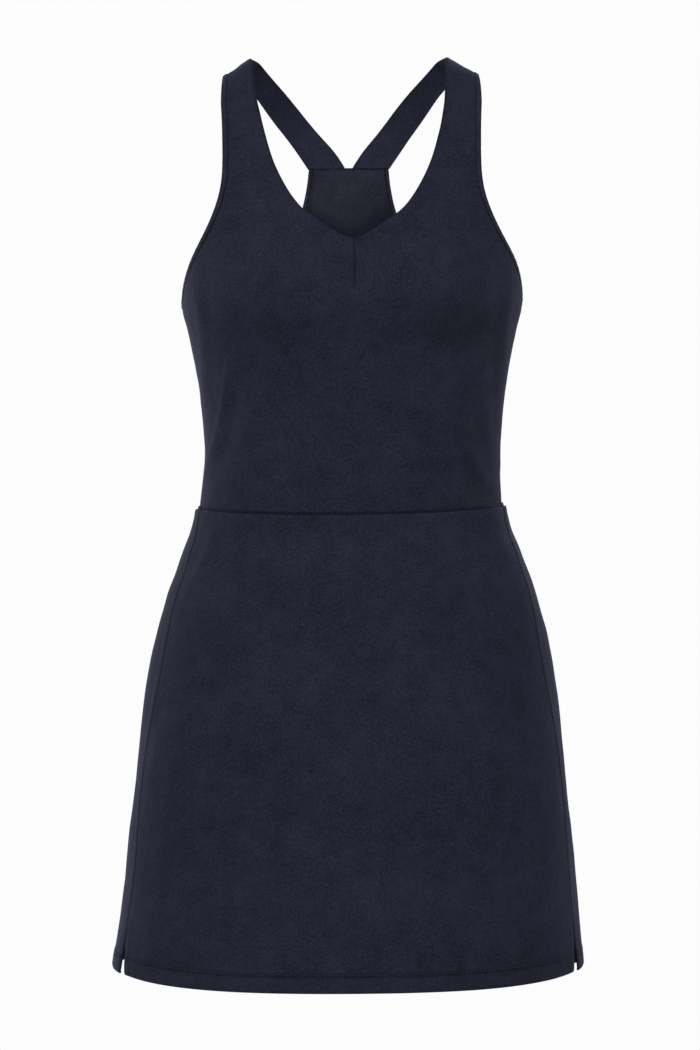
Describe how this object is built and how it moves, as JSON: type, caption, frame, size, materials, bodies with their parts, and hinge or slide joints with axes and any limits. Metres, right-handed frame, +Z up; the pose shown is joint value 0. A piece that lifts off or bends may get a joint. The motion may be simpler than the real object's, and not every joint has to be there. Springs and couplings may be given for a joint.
{
  "type": "tank dress",
  "caption": "Sleeveless V-neck tank dress with a racerback on narrow back straps, bound armholes, a waist seam and a flared skirt with side slits, filled out as worn.",
  "frame": {"origin": "midway between the two shoulder crests, at the height of the straps' crest", "axes": "+Z up, the front of the dress faces -Y, +X towards the wearer's left"},
  "size_m": [0.4085, 0.2777, 0.7937],
  "materials": {
    "bodice_knit": "matt brushed stretch knit, dark navy",
    "strap_knit": "matt brushed stretch knit, dark navy",
    "binding_knit": "folded stretch knit, dark navy",
    "skirt_knit": "matt brushed stretch knit, dark navy"
  },
  "bodies": {
    "root": {"bodice_front": "bodice_knit", "bodice_back": "bodice_knit", "strap_left": "strap_knit", "strap_right": "strap_knit", "armhole_binding_left": "binding_knit", "armhole_binding_right": "binding_knit", "skirt_front": "skirt_knit", "skirt_back": "skirt_knit"}
  },
  "joints": []
}
